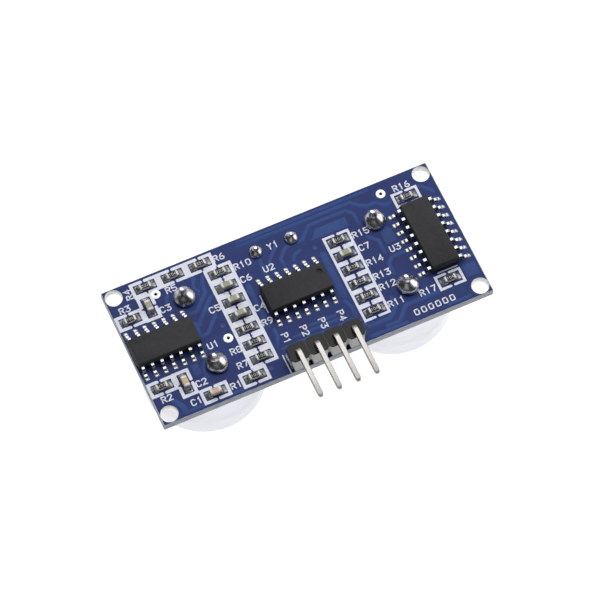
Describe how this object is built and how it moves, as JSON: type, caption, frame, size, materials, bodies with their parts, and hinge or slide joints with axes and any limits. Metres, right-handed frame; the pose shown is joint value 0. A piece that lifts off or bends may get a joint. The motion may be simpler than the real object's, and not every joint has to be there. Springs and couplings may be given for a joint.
{
  "type": "ultrasonic distance sensor",
  "caption": "Ultrasonic distance sensor: blue circuit board with round transmitter and receiver capsules in front, chips behind and a bent pin header.",
  "frame": {"origin": "centre of the circuit board's front face, the face that the two capsules stand on", "axes": "+X along the board from the receiver to the transmitter; -Y the way the header pins leave the board; +Z from the front face through the board to the component face, so the sensor looks along -Z"},
  "size_m": [0.045, 0.0258, 0.017],
  "materials": {
    "solder_mask": "satin blue solder mask on glass-epoxy board",
    "silkscreen_ink": "matte white printed ink",
    "board_edge": "cut glass-epoxy edge",
    "ic_plastic": "fine moulded epoxy",
    "header_plastic": "smooth moulded black plastic",
    "resistor_glaze": "black glass coat on white ceramic",
    "capacitor_ceramic": "fired ceramic, tan to grey",
    "solder": "bright solder",
    "tinned_pin": "tin-plated brass, pale warm silver",
    "crystal_metal": "drawn and plated metal",
    "quartz": "lapped quartz",
    "capsule_aluminium": "drawn satin aluminium",
    "screen_wire": "woven wire",
    "horn_aluminium": "thin spun aluminium",
    "piezo_plate": "lapped brass plate",
    "capsule_base_resin": "black phenolic"
  },
  "bodies": {
    "root": {"circuit_board": "solder_mask", "ic_receiver_amplifier": "ic_plastic", "ic_controller": "ic_plastic", "ic_transmitter_driver": "ic_plastic", "resistor_01": "resistor_glaze", "resistor_02": "resistor_glaze", "resistor_03": "resistor_glaze", "resistor_04": "resistor_glaze", "resistor_05": "resistor_glaze", "resistor_06": "resistor_glaze", "resistor_07": "resistor_glaze", "resistor_08": "resistor_glaze", "resistor_09": "resistor_glaze", "resistor_10": "resistor_glaze", "resistor_11": "resistor_glaze", "resistor_12": "resistor_glaze", "resistor_13": "resistor_glaze", "resistor_14": "resistor_glaze", "resistor_15": "resistor_glaze", "resistor_16": "resistor_glaze", "resistor_17": "resistor_glaze", "capacitor_01": "capacitor_ceramic", "capacitor_02": "capacitor_ceramic", "capacitor_03": "capacitor_ceramic", "capacitor_04": "capacitor_ceramic", "capacitor_05": "capacitor_ceramic", "capacitor_06": "capacitor_ceramic", "capacitor_07": "capacitor_ceramic", "crystal_base": "crystal_metal", "crystal_can": "crystal_metal", "quartz_blank": "quartz", "header_insulator": "header_plastic", "header_pin_1": "tinned_pin", "header_pin_2": "tinned_pin", "header_pin_3": "tinned_pin", "header_pin_4": "tinned_pin", "transmitter_can": "capsule_aluminium", "transmitter_screen": "screen_wire", "transmitter_horn": "horn_aluminium", "transmitter_piezo_disc": "piezo_plate", "transmitter_base": "capsule_base_resin", "transmitter_pin_1": "tinned_pin", "transmitter_pin_2": "tinned_pin", "receiver_can": "capsule_aluminium", "receiver_screen": "screen_wire", "receiver_horn": "horn_aluminium", "receiver_piezo_disc": "piezo_plate", "receiver_base": "capsule_base_resin", "receiver_pin_1": "tinned_pin", "receiver_pin_2": "tinned_pin", "transmitter_solder_1": "solder", "transmitter_solder_2": "solder", "receiver_solder_1": "solder", "receiver_solder_2": "solder", "crystal_solder_1": "solder", "crystal_solder_2": "solder", "header_solder_1": "solder", "header_solder_2": "solder", "header_solder_3": "solder", "header_solder_4": "solder"}
  },
  "joints": []
}
